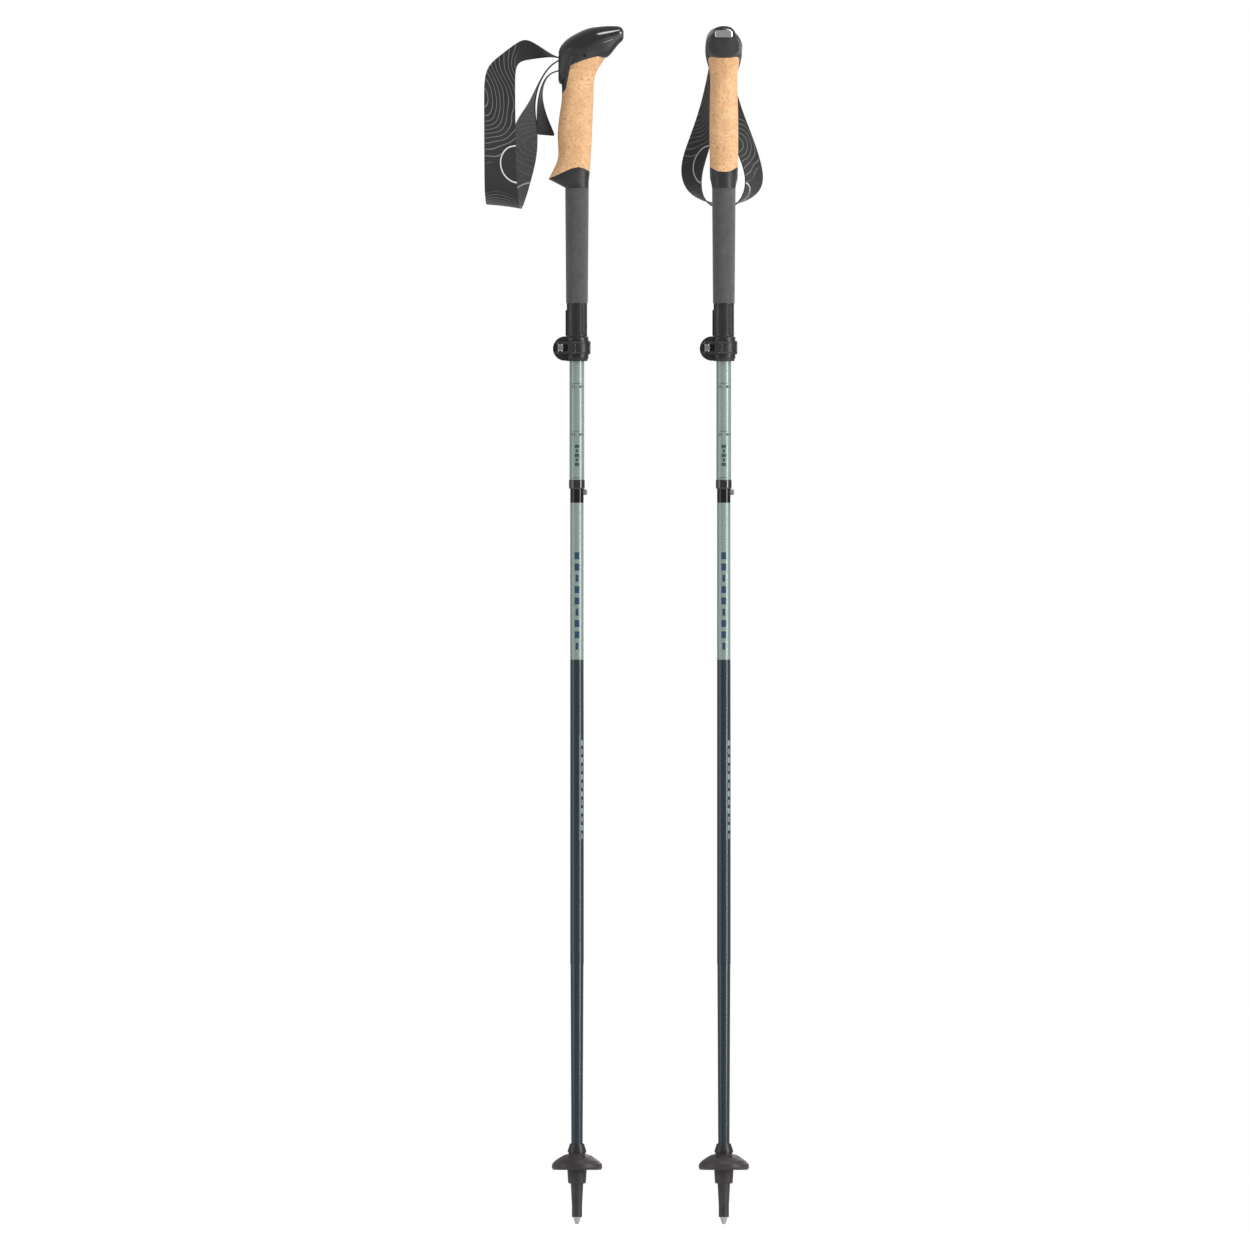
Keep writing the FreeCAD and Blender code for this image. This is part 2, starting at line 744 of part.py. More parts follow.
def release_button(tag):
    """The push button, with a flange that stays behind the sleeve's wall."""
    button = turned(
        f"release_button_{tag}",
        [
            ("0", "button_inner"),
            ("button_flange", "button_inner"),
            ("button_flange", "button_inner + 0.2"),
            ("button_radius", "button_inner + 0.2"),
            ("button_radius", "button_out - 1.3"),
            ("button_radius - 0.5", "button_out - 0.5"),
            ("button_radius - 1.5", "button_out"),
            ("0", "button_out"),
        ],
    )
    button.Placement = along(X, FreeCAD.Vector(0, 0, size("button_level")))
    return button


def joint_cone(name, plane, bore):
    """A plug in the top of a tube: its stem fills the bore and its cone centres the tube above."""
    return turned(
        name,
        [
            ("cord_bore", f"{plane} - cone_stem"),
            (bore, f"{plane} - cone_stem"),
            (bore, plane),
            (f"{bore} - 0.4", plane),
            ("cone_tip", f"{plane} + cone_rise"),
            ("cord_bore", f"{plane} + cone_rise"),
        ],
    )


def lower_pieces(tag):
    """Everything below the lower fold."""
    lower = turned(
        f"lower_tube_{tag}",
        [
            ("lower_bore", "lower_tube_low"),
            ("shaft_socket", "lower_tube_low"),
            ("shaft_socket", "tip_collar_high"),
            ("lower_radius_low", "tip_collar_high"),
            ("lower_radius_high", "fold_two"),
            ("lower_bore", "fold_two"),
        ],
    )
    anchor = turned(
        f"cord_anchor_{tag}",
        [
            ("0", "anchor_low"),
            ("lower_bore", "anchor_low"),
            ("lower_bore", "anchor_high"),
            ("0", "anchor_high"),
        ],
    )
    collar = turned(
        f"tip_collar_{tag}",
        [
            ("hub_bore", "tip_collar_low - 1"),
            ("tip_collar_radius - 0.9", "tip_collar_low - 1"),
            ("tip_collar_radius - 0.9", "tip_collar_low + 0.6"),
            ("tip_collar_radius", "tip_collar_low + 0.8"),
            ("tip_collar_radius - 0.4", "tip_collar_low + 3.5"),
            ("tip_collar_neck + 0.4", "tip_collar_high - 0.8"),
            ("tip_collar_neck", "tip_collar_high"),
            ("hub_bore", "tip_collar_high"),
        ],
    )
    basket = basket_piece(tag)
    shaft = turned(
        f"tip_shaft_{tag}",
        [
            ("2.5", "shaft_low"),
            ("shaft_radius_low", "shaft_low"),
            ("shaft_radius_low", "shaft_low + 12"),
            ("shaft_radius_high", "hub_low"),
            ("hub_bore", "hub_low"),
            ("hub_bore", "tip_collar_high"),
            ("shaft_socket", "tip_collar_high"),
            ("shaft_socket", "lower_tube_low"),
            ("2.5", "lower_tube_low"),
        ],
    )
    carbide = turned(
        f"carbide_tip_{tag}",
        [
            ("0", "0.9"),
            ("carbide_point - 0.5", "0"),
            ("carbide_point", "0.3"),
            ("carbide_radius", "shaft_low"),
            ("2.5", "shaft_low"),
            ("2.5", "shaft_low + 14"),
            ("0", "shaft_low + 14"),
        ],
    )
    return {
        "lower_tube": lower,
        "lower_cone": joint_cone(f"lower_cone_{tag}", "fold_two", "lower_bore"),
        "cord_anchor": anchor,
        "tip_collar": collar,
        "basket": basket,
        "tip_shaft": shaft,
        "carbide_tip": carbide,
    }


def basket_piece(tag):
    """A domed disc with a turned-down rim on a tapering hub, pierced by a ring of slots."""
    disc = turned(
        f"basket_disc_{tag}",
        [
            ("hub_bore", "hub_low"),
            ("hub_radius_low - 0.8", "hub_low"),
            ("hub_radius_low", "hub_low + 1.5"),
            ("hub_radius_high", "rim_high + 1"),
            ("16.5", "rim_high + 0.9"),
            ("20.8", "rim_high - 2"),
            ("22.2", "rim_low"),
            ("24.0", "rim_low + 0.4"),
            ("25.6", "rim_low + 0.2"),
            ("rim_radius", "rim_low + 2.6"),
            ("rim_radius - 0.4", "rim_low + 6.4"),
            ("rim_radius - 3.4", "rim_low + 9.8"),
            ("18.6", "basket_high - 3.8"),
            ("13.0", "basket_high - 0.8"),
            ("10.2", "basket_high"),
            ("hub_bore", "basket_high"),
        ],
    )
    slots = []
    for i in range(8):
        turn = FreeCAD.Rotation(Z, 45 * i + 22.5)
        slots.append(
            cylinder(
                f"basket_slot_{tag}_{i}",
                "2.6",
                "16",
                FreeCAD.Placement(turn.multVec(X * 16.2) + Z * (size("rim_high") - 1), turn),
            )
        )
    return without(f"basket_{tag}", disc, slots)


# ---------------------------------------------------------------- assembly


def pole(tag, x, head_turn):
    """Builds one pole's pieces and puts them at the pole's place."""
    turned_with_head = grip_pieces(tag)
    turned_with_head["wrist_strap"] = strap_piece(tag)
    straight = {
        "upper_tube": tube(
            f"upper_tube_{tag}", "upper_radius", "upper_bore", "upper_tube_low", "upper_tube_high"
        ),
        "clamp_body": clamp_body(tag),
        "clamp_lever": clamp_lever(tag),
        "lever_pin": lever_pin(tag),
        "clamp_bolt": clamp_bolt(tag),
        "adjuster_nut": adjuster_nut(tag),
        "release_button": release_button(tag),
        "middle_tube": tube(f"middle_tube_{tag}", "middle_radius", "middle_bore", "fold_two", "fold_one"),
        "middle_cone": joint_cone(f"middle_cone_{tag}", "fold_one", "middle_bore"),
        "tension_cord": turned(
            f"tension_cord_{tag}",
            [
                ("0", "anchor_high"),
                ("cord_radius", "anchor_high"),
                ("cord_radius", "sleeve_high"),
                ("knot_radius", "sleeve_high"),
                ("knot_radius", "sleeve_high + 5"),
                ("0", "sleeve_high + 5"),
            ],
        ),
    }
    straight.update(slider_pieces(tag))
    straight.update(lower_pieces(tag))
    spot = FreeCAD.Vector(size(x), size("pole_y"), 0)
    for group, angle in ((turned_with_head, head_turn), (straight, 0)):
        for name, piece in group.items():
            move = FreeCAD.Placement(spot, FreeCAD.Rotation(Z, angle))
            piece.Placement = move.multiply(piece.Placement)
            piece.Label = f"{name}_{tag}"
    return list(turned_with_head.values()) + list(straight.values())


pieces = pole("a", "pole_a_x", 0) + pole("b", "pole_b_x", -90)
doc.recompute()

cone_swing = math.hypot(size("fold_offset") + size("cone_tip"), size("cone_rise"))
for bore in ("sleeve_bore", "middle_bore"):
    if cone_swing > size("fold_offset") + size(bore):
        raise RuntimeError(f"a joint cone would strike its socket at {bore} as it folds")

for item in doc.Objects:
    if "Invalid" in item.State or "Error" in item.State:
        raise RuntimeError(f"{item.Label} did not recompute: {item.State}")
for piece in pieces:
    shape = piece.Shape
    if shape.isNull() or not shape.isValid() or shape.Volume <= 0:
        raise RuntimeError(f"{piece.Label} has no sound solid")

os.makedirs("parts", exist_ok=True)
whole = FreeCAD.BoundBox()
for piece in pieces:
    whole.add(piece.Shape.BoundBox)
    piece.Shape.exportStep(f"parts/{piece.Label}.step")
print(f"{len(pieces)} nodes, box {whole}")
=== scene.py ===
import math

import bpy
from mathutils import Matrix, Vector


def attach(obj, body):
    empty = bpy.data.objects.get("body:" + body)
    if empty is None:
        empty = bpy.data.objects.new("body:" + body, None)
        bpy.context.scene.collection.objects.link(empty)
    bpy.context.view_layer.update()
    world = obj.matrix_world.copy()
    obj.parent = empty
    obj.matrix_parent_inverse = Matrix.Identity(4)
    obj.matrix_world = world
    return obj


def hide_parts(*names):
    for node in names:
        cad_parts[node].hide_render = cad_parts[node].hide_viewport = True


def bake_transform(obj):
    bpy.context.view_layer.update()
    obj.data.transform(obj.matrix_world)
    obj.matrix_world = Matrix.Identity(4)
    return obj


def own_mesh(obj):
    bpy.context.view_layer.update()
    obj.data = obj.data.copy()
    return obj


# A pair of folding trekking poles: the finished pieces and finishes over the working frame.
# New pieces are shaped once in a pole's own frame, in millimetres: its axis is Z, the ground is Z = 0 and
# the grip's nose points along +X. Each is then copied to both poles.

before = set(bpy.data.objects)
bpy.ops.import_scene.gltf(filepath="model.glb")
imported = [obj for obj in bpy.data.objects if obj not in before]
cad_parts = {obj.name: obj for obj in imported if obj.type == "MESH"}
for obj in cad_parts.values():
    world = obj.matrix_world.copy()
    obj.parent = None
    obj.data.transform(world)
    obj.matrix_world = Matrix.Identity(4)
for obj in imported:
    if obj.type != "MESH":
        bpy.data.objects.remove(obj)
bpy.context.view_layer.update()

MM = 0.001
POLE_Y = -25.25
POLES = {"a": (-50.35, 0.0), "b": (105.65, -90.0)}

scene = bpy.context.scene
scene.view_settings.view_transform = "Standard"


# ---------------------------------------------------------------- camera and light

eye = bpy.data.cameras.new("front_view")
eye.type = "ORTHO"
eye.ortho_scale = 1.328
camera = bpy.data.objects.new("front_view", eye)
camera.location = (0.65 * MM, -4.0, 636.4 * MM)
camera.rotation_euler = (math.radians(90), 0, 0)
scene.collection.objects.link(camera)
scene.camera = camera


def softbox(name, azimuth, height, distance, wide, tall, watts):
    """A large soft light that looks at the middle of the poles."""
    light = bpy.data.lights.new(name, "AREA")
    light.shape = "RECTANGLE"
    light.size = wide
    light.size_y = tall
    light.energy = watts
    lamp = bpy.data.objects.new(name, light)
    turn = math.radians(azimuth)
    lamp.location = (distance * math.sin(turn), -distance * math.cos(turn), height)
    lamp.rotation_euler = (Vector((0, 0, 0.64)) - lamp.location).to_track_quat("-Z", "Y").to_euler()
    scene.collection.objects.link(lamp)


softbox("key_right", 56, 1.1, 2.0, 0.62, 2.0, 30)
softbox("fill_left", -68, 1.1, 2.2, 1.3, 2.0, 13)
softbox("top", 34, 2.7, 1.2, 1.1, 0.5, 16)
softbox("back_rim", 165, 1.4, 2.2, 1.4, 1.8, 14)


# ---------------------------------------------------------------- materials


def linear(code):
    """A colour from its sRGB hex code, as linear light."""
    parts = [int(code[i:i + 2], 16) / 255 for i in (1, 3, 5)]
    lit = [c / 12.92 if c <= 0.04045 else ((c + 0.055) / 1.055) ** 2.4 for c in parts]
    return (*lit, 1.0)


NOISE = "ShaderNodeTexNoise"
VORONOI = "ShaderNodeTexVoronoi"
WAVE = "ShaderNodeTexWave"
RANGE = "ShaderNodeMapRange"
MIX = "ShaderNodeMix"
MATH = "ShaderNodeMath"
VECTOR = "ShaderNodeVectorMath"
MAPPING = "ShaderNodeMapping"
BUMP = "ShaderNodeBump"


def add_node(tree, kind, sockets, output=0, **settings):
    """Adds a node with its settings, sets or links its sockets, and gives back one of its outputs."""
    made = tree.nodes.new(kind)
    for name, value in settings.items():
        setattr(made, name, value)
    for key, value in sockets.items():
        if isinstance(value, bpy.types.NodeSocket):
            tree.links.new(value, made.inputs[key])
        else:
            made.inputs[key].default_value = value
    return made.outputs[output]


def finish(name, colour, roughness, **constants):
    """A new material: its node tree, its shader and its object coordinates."""
    material = bpy.data.materials.new(name)
    material.use_nodes = True
    tree = material.node_tree
    shader = tree.nodes["Principled BSDF"]
    shader.inputs["Base Color"].default_value = linear(colour)
    shader.inputs["Roughness"].default_value = roughness
    for socket, value in constants.items():
        shader.inputs[socket.replace("_", " ")].default_value = value
    place = add_node(tree, "ShaderNodeTexCoord", {}, "Object")
    return material, tree, shader, place


def cork_agglomerate():
    """Agglomerated cork, turned and sanded: pale granules 2 to 3 mm across, with darker specks and open
    pores."""
    material, tree, shader, place = finish("cork_agglomerate_sanded", "#E6B98B", 0.72)
    cells = add_node(tree, VORONOI, {"Vector": place, "Scale": 1 / (2.3 * MM)})
    tone = add_node(tree, "ShaderNodeSeparateColor", {"Color": cells.node.outputs["Color"]})
    colour = {0: tone, 6: linear("#EABF92"), 7: linear("#D5A473")}
    granules = add_node(tree, MIX, colour, 2, data_type="RGBA")
    broad = add_node(tree, NOISE, {"Vector": place, "Scale": 1 / (16 * MM), "Detail": 2.0})
    cloud = add_node(tree, RANGE, {"Value": broad, "From Min": 0.35, "From Max": 0.7, "To Max": 0.55})
    warm = add_node(tree, MIX, {0: cloud, 6: granules, 7: linear("#CC9D6F")}, 2, data_type="RGBA")
    fine = {"Vector": place, "Scale": 1 / (1.3 * MM), "Detail": 3.0, "Roughness": 0.65}
    fine = add_node(tree, NOISE, fine)
    specks = add_node(tree, RANGE, {"Value": fine, "From Min": 0.57, "From Max": 0.68, "To Max": 0.65})
    speckled = add_node(tree, MIX, {0: specks, 6: warm, 7: linear("#A16C3B")}, 2, data_type="RGBA")
    pores = add_node(tree, VORONOI, {"Vector": place, "Scale": 1 / (3.9 * MM)})
    pits = {"Value": pores, "From Min": 0.10, "From Max": 0.19, "To Min": 0.8, "To Max": 0.0}
    pits = add_node(tree, RANGE, pits)
    pitted = add_node(tree, MIX, {0: pits, 6: speckled, 7: linear("#76482A")}, 2, data_type="RGBA")
    tree.links.new(pitted, shader.inputs["Base Color"])
    sunk = add_node(tree, MATH, {0: pits, 1: 1.8}, operation="MULTIPLY")
    height = add_node(tree, MATH, {0: cells, 1: sunk}, operation="SUBTRACT")
    bump = add_node(tree, BUMP, {"Height": height, "Distance": 0.22 * MM, "Strength": 0.55})
    tree.links.new(bump, shader.inputs["Normal"])
    return material


def moulded(name, colour, lighter, roughness, grit, depth, **constants):
    """A moulded plastic or rubber: one colour with faint flow clouds, and the fine spark-eroded texture
    that the mould leaves."""
    material, tree, shader, place = finish(name, colour, roughness, **constants)
    broad = add_node(tree, NOISE, {"Vector": place, "Scale": 1 / (14 * MM), "Detail": 2.0})
    cloud = add_node(tree, RANGE, {"Value": broad, "From Min": 0.35, "From Max": 0.68})
    shade = add_node(tree, MIX, {0: cloud, 6: linear(colour), 7: linear(lighter)}, 2, data_type="RGBA")
    tree.links.new(shade, shader.inputs["Base Color"])
    rubbed = add_node(tree, NOISE, {"Vector": place, "Scale": 1 / (6 * MM), "Detail": 3.0})
    rubbed = {
        "Value": rubbed,
        "From Min": 0.3,
        "From Max": 0.7,
        "To Min": roughness - 0.05,
        "To Max": roughness + 0.07,
    }
    tree.links.new(add_node(tree, RANGE, rubbed), shader.inputs["Roughness"])
    texture = {"Vector": place, "Scale": 1 / (grit * MM), "Detail": 2.0, "Roughness": 0.6}
    texture = add_node(tree, NOISE, texture)
    bump = add_node(tree, BUMP, {"Height": texture, "Distance": depth * MM, "Strength": 0.5})
    tree.links.new(bump, shader.inputs["Normal"])
    return material


def foam_skived():
    """Closed-cell EVA foam, skived and ground: matt, soft grey-black, with cells under a millimetre.
    The cells are drawn 1.1 mm apart, about twice their size, so that they show."""
    material, tree, shader, place = finish("eva_foam_ground", "#454343", 0.9, Sheen_Weight=0.25)
    shader.inputs["Sheen Roughness"].default_value = 0.6
    broad = {"Vector": place, "Scale": 1 / (7 * MM), "Detail": 4.0, "Roughness": 0.6}
    broad = add_node(tree, NOISE, broad)
    tone = add_node(tree, RANGE, {"Value": broad, "From Min": 0.3, "From Max": 0.72})
    colour = {0: tone, 6: linear("#403E3E"), 7: linear("#4E4C4C")}
    body = add_node(tree, MIX, colour, 2, data_type="RGBA")
    cells = add_node(tree, VORONOI, {"Vector": place, "Scale": 1 / (1.1 * MM)})
    dark = {"Value": cells, "From Min": 0.0, "From Max": 0.35, "To Min": 0.35, "To Max": 0.0}
    dark = add_node(tree, RANGE, dark)
    pocked = add_node(tree, MIX, {0: dark, 6: body, 7: linear("#262525")}, 2, data_type="RGBA")
    tree.links.new(pocked, shader.inputs["Base Color"])
    bump = add_node(tree, BUMP, {"Height": cells, "Distance": 0.12 * MM, "Strength": 0.5})
    tree.links.new(bump, shader.inputs["Normal"])
    return material


def lacquered(name, colour, lighter, roughness, coat):
    """Aluminium tube, drawn, wet-painted and clear-lacquered: even colour with a fine metallic flake and
    faint lines along the draw, under a smooth clear coat that gives one crisp long highlight."""
    constants = {"Metallic": 0.25, "Coat_Weight": coat, "Coat_Roughness": 0.12}
    material, tree, shader, place = finish(name, colour, roughness, **constants)
    flake = add_node(tree, NOISE, {"Vector": place, "Scale": 1 / (0.9 * MM), "Detail": 1.0})
    stretched = add_node(tree, MAPPING, {"Vector": place, "Scale": (1.0, 1.0, 0.012)})
    drawn = add_node(tree, NOISE, {"Vector": stretched, "Scale": 1 / (0.8 * MM), "Detail": 2.0})
    both = add_node(tree, MATH, {0: flake, 1: drawn}, operation="ADD")
    mixed = add_node(tree, RANGE, {"Value": both, "From Min": 0.7, "From Max": 1.35})
    painted = {0: mixed, 6: linear(colour), 7: linear(lighter)}
    painted = add_node(tree, MIX, painted, 2, data_type="RGBA")
    tree.links.new(painted, shader.inputs["Base Color"])
    rubbed = {"Vector": place, "Scale": 1 / (5 * MM), "Detail": 4.0, "Roughness": 0.65}
    rubbed = add_node(tree, NOISE, rubbed)
    scuffs = {
        "Value": rubbed,
        "From Min": 0.45,
        "From Max": 0.8,
        "To Min": roughness,
        "To Max": roughness + 0.12,
    }
    tree.links.new(add_node(tree, RANGE, scuffs), shader.inputs["Roughness"])
    bump = add_node(tree, BUMP, {"Height": drawn, "Distance": 0.01 * MM, "Strength": 0.25})
    tree.links.new(bump, shader.inputs["Normal"])
    return material, tree, shader, place, painted, flake


def middle_tube_paint():
    """The middle tube's two paints: sage above and dark petrol below, with the masked edge between them at
    599.4 mm and a hair of primer on it."""
    made = lacquered("aluminium_two_tone_lacquered", "#7F9089", "#8A9B94", 0.34, 0.5)
    material, tree, shader, place, sage, flake = made
    height = add_node(tree, "ShaderNodeSeparateXYZ", {"Vector": place}, "Z")
    petrol = {0: flake, 6: linear("#0E222B"), 7: linear("#142C37")}
    petrol = add_node(tree, MIX, petrol, 2, data_type="RGBA")
    below = {"Value": height, "From Min": 599.2 * MM, "From Max": 599.6 * MM, "To Min": 1.0, "To Max": 0.0}
    below = add_node(tree, RANGE, below)
    painted = add_node(tree, MIX, {0: below, 6: sage, 7: petrol}, 2, data_type="RGBA")
    away = add_node(tree, MATH, {0: height, 1: 599.6 * MM}, operation="SUBTRACT")
    away = add_node(tree, MATH, {0: away}, operation="ABSOLUTE")
    primer = {"Value": away, "From Min": 0.1 * MM, "From Max": 0.5 * MM, "To Min": 0.6, "To Max": 0.0}
    primer = add_node(tree, RANGE, primer)
    edged = add_node(tree, MIX, {0: primer, 6: painted, 7: linear("#2C4A48")}, 2, data_type="RGBA")
    tree.links.new(edged, shader.inputs["Base Color"])
    return material


def metal(name, colour, roughness, lines, stretch):
    """A bare metal part: turned, ground or plated, with its tool marks and small colour changes."""
    material, tree, shader, place = finish(name, colour, roughness, Metallic=1.0)
    stretched = add_node(tree, MAPPING, {"Vector": place, "Scale": stretch})
    scored = add_node(tree, NOISE, {"Vector": stretched, "Scale": 1 / (lines * MM), "Detail": 2.0})
    scored = add_node(tree, RANGE, {"Value": scored, "From Min": 0.3, "From Max": 0.7})
    worn = {"Value": scored, "To Min": roughness - 0.06, "To Max": roughness + 0.1}
    tree.links.new(add_node(tree, RANGE, worn), shader.inputs["Roughness"])
    bright = linear(colour)
    darker = (*(c * 0.8 for c in bright[:3]), 1.0)
    shade = add_node(tree, MIX, {0: scored, 6: darker, 7: bright}, 2, data_type="RGBA")
    tree.links.new(shade, shader.inputs["Base Color"])
    bump = add_node(tree, BUMP, {"Height": scored, "Distance": 0.02 * MM, "Strength": 0.3})
    tree.links.new(bump, shader.inputs["Normal"])
    return material


def ink(name, colour, faded):
    """Screen-printed ink, a few hundredths thick: flat colour with pinholes and a slightly thin film."""
    material, tree, shader, place = finish(name, colour, 0.5)
    film = {"Vector": place, "Scale": 1 / (0.7 * MM), "Detail": 3.0, "Roughness": 0.7}
    film = add_node(tree, NOISE, film)
    thin = add_node(tree, RANGE, {"Value": film, "From Min": 0.35, "From Max": 0.75})
    shade = add_node(tree, MIX, {0: thin, 6: linear(colour), 7: linear(faded)}, 2, data_type="RGBA")
    tree.links.new(shade, shader.inputs["Base Color"])
    bump = add_node(tree, BUMP, {"Height": thin, "Distance": 0.02 * MM, "Strength": 0.4})
    tree.links.new(bump, shader.inputs["Normal"])
    return material


# Where the strap's printed rings are centred: across its width and along it, in millimetres from its middle
# line and from the slot. Each has its bold ring's radius and how far its thin rings reach.
RINGS = [
    (21.0, 172.0, 20.5, 0.0),
    (-24.0, 108.0, 0.0, 66.0),
    (20.0, 330.0, 0.0, 44.0),
    (22.0, 266.0, 21.0, 0.0),
    (-4.0, 236.0, 0.0, 34.0),
]
RING_GAP = 5.6
YARN_GAP = 1.2


def woven(name, ground, lighter, line, bold_line, rings):
    """Woven polyester webbing with a screen-printed contour-line pattern. The yarns are 0.5 mm apart, drawn
    1.2 mm apart so that they show."""
    material, tree, shader, _ = finish(name, ground, 0.82, Sheen_Weight=0.15)
    shader.inputs["Sheen Roughness"].default_value = 0.5
    # the piece's UV map holds its width and its length, each in units of 100 mm
    flat = add_node(tree, "ShaderNodeUVMap", {}, uv_map="webbing")
    cloth = add_node(tree, VECTOR, {0: flat, 1: (100, 100, 0)}, operation="MULTIPLY")
    broad = add_node(tree, NOISE, {"Vector": cloth, "Scale": 1 / 9, "Detail": 3.0})
    tone = add_node(tree, RANGE, {"Value": broad, "From Min": 0.3, "From Max": 0.7})
    dyed = {0: tone, 6: linear(ground), 7: linear(lighter)}
    colour = add_node(tree, MIX, dyed, 2, data_type="RGBA")
    pitch = {"Vector": cloth, "Scale": 2 * math.pi / YARN_GAP / 20, "Distortion": 0.4, "Detail": 1.0}
    weft = add_node(tree, WAVE, pitch, 1, bands_direction="X")
    warp = add_node(tree, WAVE, pitch, 1, bands_direction="Y")
    yarns = add_node(tree, MATH, {0: weft, 1: warp}, operation="MULTIPLY")
    gaps = add_node(tree, RANGE, {"Value": yarns, "To Min": 0.25, "To Max": 0.0})
    colour = add_node(tree, MIX, {0: gaps, 6: colour, 7: linear("#0B0B0C")}, 2, data_type="RGBA")
    drift = add_node(tree, NOISE, {"Vector": cloth, "Scale": 1 / 40, "Detail": 0.5})
    wander = {"Value": drift, "From Min": 0.2, "From Max": 0.8, "To Min": -8.0, "To Max": 8.0}
    wander = add_node(tree, RANGE, wander)
    for across, along, bold_radius, reach in rings:
        centre = {0: cloth, 1: (across, along, 0)}
        away = add_node(tree, VECTOR, centre, "Value", operation="DISTANCE")
        if reach:
            bent = add_node(tree, MATH, {0: away, 1: wander}, operation="ADD")
            turns = add_node(tree, MATH, {0: bent, 1: RING_GAP}, operation="DIVIDE")
            phase = add_node(tree, MATH, {0: turns}, operation="FRACT")
            off = add_node(tree, MATH, {0: phase, 1: 0.5}, operation="SUBTRACT")
            off = add_node(tree, MATH, {0: off}, operation="ABSOLUTE")
            thin = {"Value": off, "From Min": 0.04, "From Max": 0.085, "To Min": 0.85, "To Max": 0.0}
            thin = add_node(tree, RANGE, thin)
            here = {"Value": away, "From Min": reach - 4, "From Max": reach, "To Min": 1.0, "To Max": 0.0}
            here = add_node(tree, RANGE, here)
            thin = add_node(tree, MATH, {0: thin, 1: here}, operation="MULTIPLY")
            colour = add_node(tree, MIX, {0: thin, 6: colour, 7: linear(line)}, 2, data_type="RGBA")
    for across, along, bold_radius, reach in rings:
        if bold_radius:
            centre = {0: cloth, 1: (across, along, 0)}
            away = add_node(tree, VECTOR, centre, "Value", operation="DISTANCE")
            inside = {
                "Value": away,
                "From Min": bold_radius,
                "From Max": bold_radius + 1,
                "To Min": 1.0,
                "To Max": 0.0,
            }
            inside = add_node(tree, RANGE, inside)
            colour = add_node(tree, MIX, {0: inside, 6: colour, 7: linear(ground)}, 2, data_type="RGBA")
            off = add_node(tree, MATH, {0: away, 1: bold_radius}, operation="SUBTRACT")
            off = add_node(tree, MATH, {0: off}, operation="ABSOLUTE")
            bold = {"Value": off, "From Min": 0.55, "From Max": 0.95, "To Min": 1.0, "To Max": 0.0}
            bold = add_node(tree, RANGE, bold)
            colour = add_node(tree, MIX, {0: bold, 6: colour, 7: linear(bold_line)}, 2, data_type="RGBA")
    tree.links.new(colour, shader.inputs["Base Color"])
    bump = add_node(tree, BUMP, {"Height": yarns, "Distance": 0.12 * MM, "Strength": 0.5})
    tree.links.new(bump, shader.inputs["Normal"])
    return material


def braided_cord():
    """A coated tension cord: polyester braid 2 mm thick, whose strands are 1 mm apart."""
    material, tree, shader, place = finish("polyester_cord_braided", "#2A2B2D", 0.75)
    pitch = {"Vector": place, "Scale": 2 * math.pi / 20 / MM, "Distortion": 1.0}
    leaning = add_node(tree, WAVE, pitch, 1, bands_direction="DIAGONAL")
    crossing = add_node(tree, WAVE, pitch, 1, bands_direction="Z")
    both = add_node(tree, MATH, {0: leaning, 1: crossing}, operation="MULTIPLY")
    shade = {0: both, 6: linear("#1B1C1E"), 7: linear("#5A5D60")}
    tree.links.new(add_node(tree, MIX, shade, 2, data_type="RGBA"), shader.inputs["Base Color"])
    bump = add_node(tree, BUMP, {"Height": both, "Distance": 0.15 * MM, "Strength": 0.6})
    tree.links.new(bump, shader.inputs["Normal"])
    return material


sage_paint = lacquered("aluminium_sage_lacquered", "#7F9089", "#8A9B94", 0.34, 0.5)[0]
petrol_paint = lacquered("aluminium_petrol_lacquered", "#0E222B", "#142C37", 0.3, 0.6)[0]
two_tone_paint = middle_tube_paint()
cork = cork_agglomerate()
foam = foam_skived()
soft_rubber = moulded("tpr_soft_touch_moulded", "#1E1E1F", "#282829", 0.46, 0.9, 0.03)
gloss_cap = moulded("abs_polished_moulded", "#0A0A0B", "#111112", 0.14, 1.4, 0.01, Coat_Weight=0.8)
matt_nylon = moulded("nylon_glass_filled_moulded", "#161617", "#222223", 0.36, 0.8, 0.05)
tip_nylon = moulded("nylon_tip_moulded", "#252525", "#333333", 0.36, 0.9, 0.04)
basket_plastic = moulded("polypropylene_moulded", "#2C2528", "#3A3235", 0.45, 0.9, 0.05)
black_anodised = metal("aluminium_black_anodised", "#3A3A3B", 0.16, 0.6, (1.0, 1.0, 0.02))
steel = metal("steel_turned_plated", "#A9A9AA", 0.3, 0.3, (0.05, 1.0, 1.0))
button_steel = metal("zinc_button_satin", "#8D8D8F", 0.38, 0.5, (0.05, 1.0, 1.0))
carbide = metal("tungsten_carbide_ground", "#C9CACC", 0.26, 0.4, (1.0, 1.0, 0.2))
badge_metal = metal("nickel_plate_brushed", "#D4D5D6", 0.22, 0.3, (1.0, 0.05, 1.0))
dark_ink = ink("ink_screen_printed_dark", "#24413A", "#2F4F47")
navy_ink = ink("ink_screen_printed_navy", "#0B3350", "#1B4462")
pale_ink = ink("ink_screen_printed_pale", "#8E9DA3", "#5E6E75")
# Both faces are the same webbing. The printed outer face's ground is painted darker to offset the key light
# that falls on it. The inner face is a little lighter in itself and is painted much lighter still, as
# painted light standing in for the shade it sits in.
webbing_front = woven("polyester_webbing_printed", "#121213", "#19191A", "#747474", "#C8C8C8", RINGS)
webbing_inner_painted_lighter = woven("polyester_webbing_inner_face", "#525253", "#5E5E5F", "#6E6E6E", "#BDBDBD", RINGS)
webbing_plain = woven("polyester_webbing_plain", "#121213", "#1C1C1D", "#2A2A2A", "#2A2A2A", [])
webbing_edge = moulded("polyester_selvedge_heat_cut", "#1B1B1C", "#262627", 0.6, 0.6, 0.05)
cord_braid = braided_cord()

